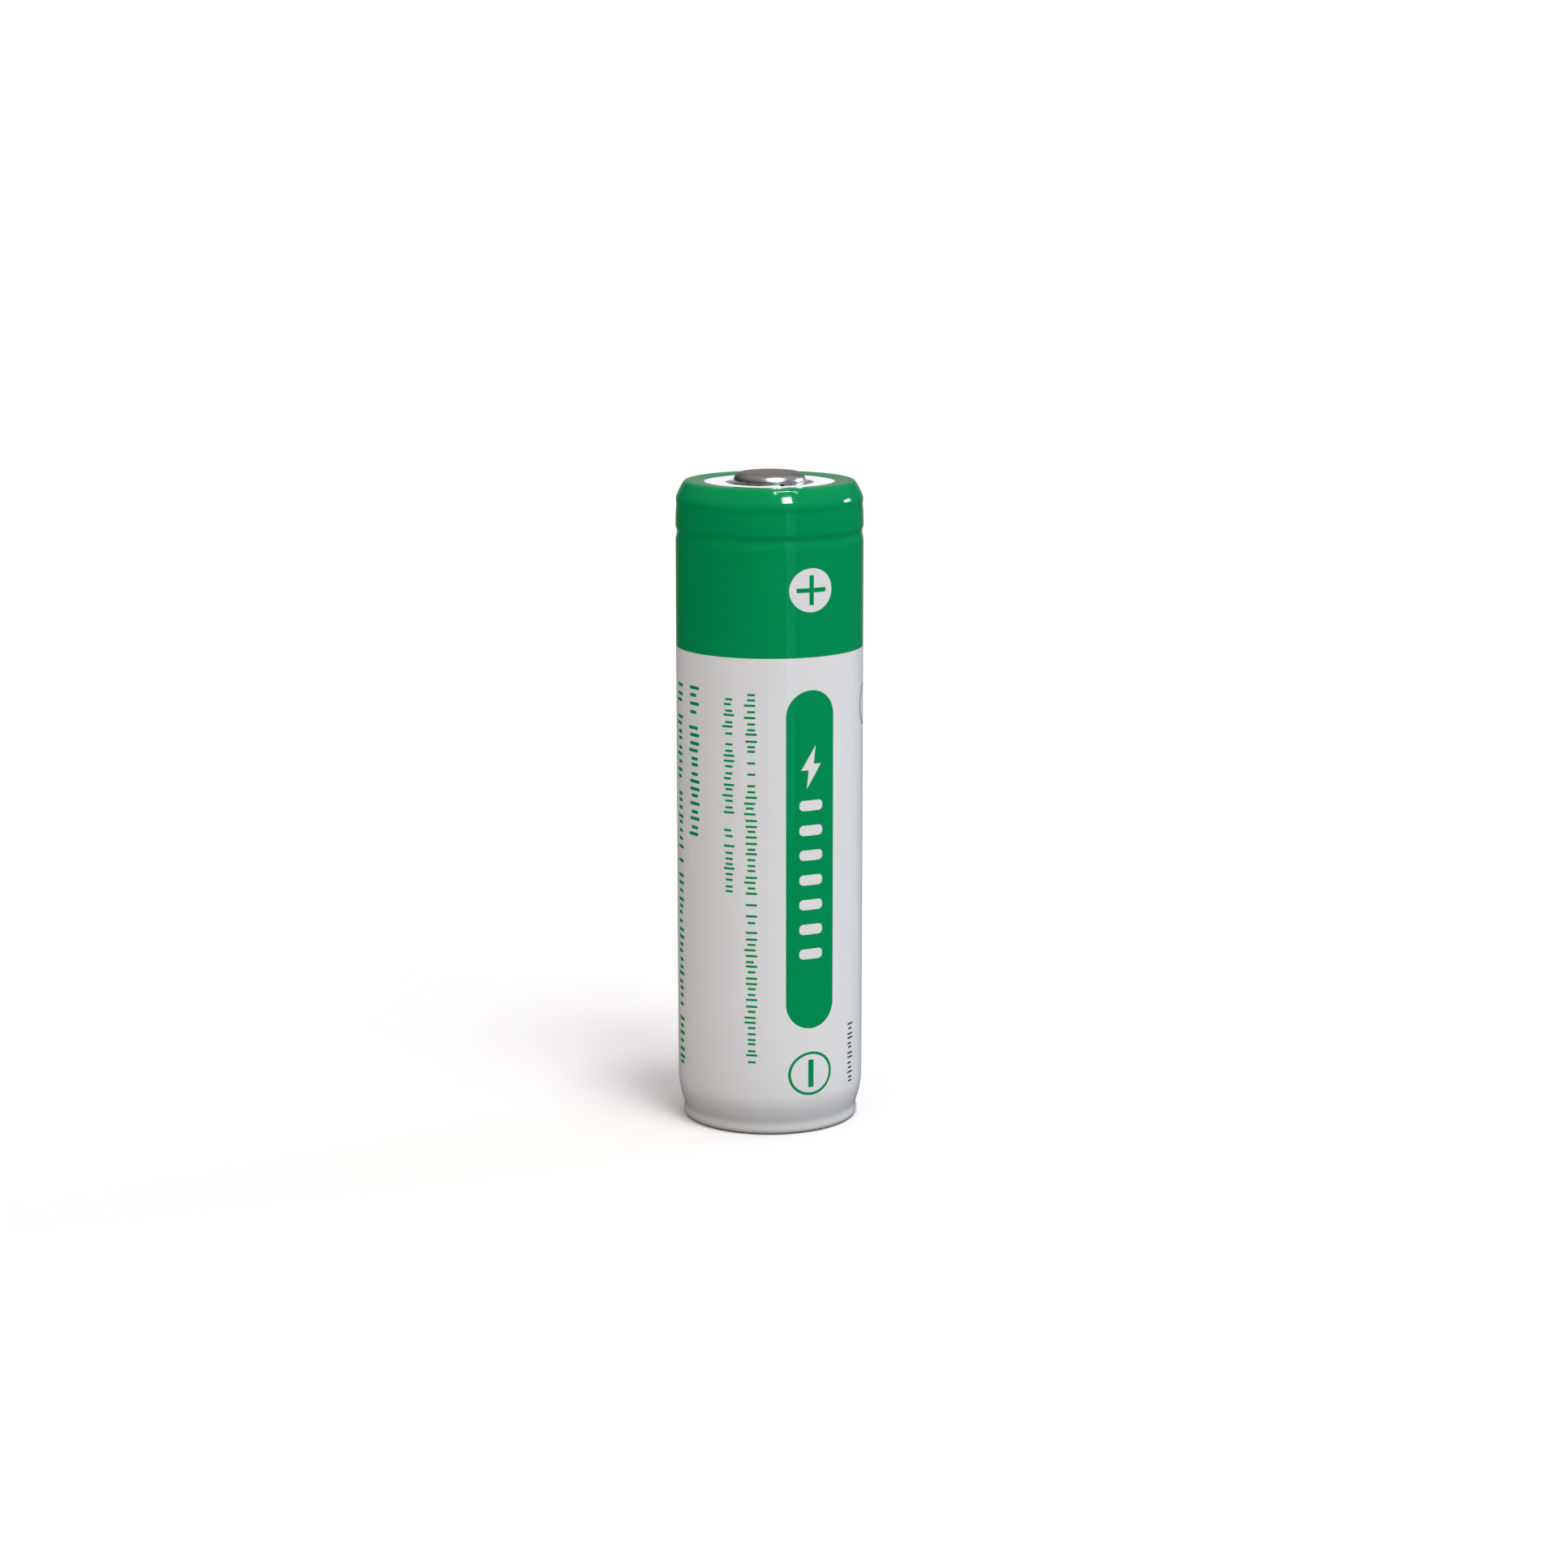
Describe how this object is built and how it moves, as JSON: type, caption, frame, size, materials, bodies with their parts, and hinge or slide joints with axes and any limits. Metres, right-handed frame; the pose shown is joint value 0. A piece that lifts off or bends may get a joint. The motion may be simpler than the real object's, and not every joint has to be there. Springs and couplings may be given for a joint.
{
  "type": "cylindrical battery cell",
  "caption": "Protected cylindrical lithium-ion cell with a raised positive button, a flat negative contact and a printed shrink sleeve.",
  "frame": {"origin": "centre of the negative contact face that the cell stands on", "axes": "+Z along the cell's axis from the negative contact to the positive button, +Y towards the side lead under the sleeve, -Y towards the middle of the printed front"},
  "size_m": [0.0216, 0.0216, 0.076],
  "materials": {
    "sleeve": "printed heat-shrink film, green and light grey",
    "collar": "moulded white",
    "nickel_steel": "nickel-plated steel, bright",
    "nickel_strip": "satin nickel",
    "aluminium": "satin",
    "insulator": "paper and moulded insulation",
    "inner_film": "clear blue shrink film",
    "amber_tape": "polyimide tape",
    "grey_polymer": "filled polymer",
    "separator": "microporous film",
    "cathode": "coated foil, near black",
    "anode": "graphite-coated foil",
    "laminate": "green board laminate",
    "chip": "black moulding",
    "resistor": "black glaze with tinned ends",
    "capacitor": "tan ceramic with tinned ends"
  },
  "bodies": {
    "root": {"outer_sleeve": "sleeve", "top_collar": "collar", "button_cap": "nickel_steel", "steel_can": "nickel_steel", "rim_washer": "insulator", "cell_wrap": "inner_film", "gasket": "insulator", "vent_disc": "aluminium", "ptc_ring": "grey_polymer", "terminal_cap": "nickel_steel", "cid_weld_plate": "aluminium", "cid_insulator_ring": "insulator", "separator_inner": "separator", "anode_sheet": "anode", "separator_outer": "separator", "cathode_sheet": "cathode", "roll_closing_tape": "amber_tape", "positive_tab": "aluminium", "negative_tab": "nickel_strip", "top_insulator": "insulator", "bottom_insulator": "insulator", "positive_lead": "nickel_strip", "lead_tape": "amber_tape", "circuit_board": "laminate", "negative_contact": "nickel_steel", "board_carrier": "grey_polymer", "base_insulator": "insulator", "negative_lead": "nickel_strip", "mosfet_left": "chip", "mosfet_right": "chip", "protection_ic": "chip", "resistor_sense": "resistor", "resistor_supply": "resistor", "capacitor_filter": "capacitor", "capacitor_bypass": "capacitor"}
  },
  "joints": []
}
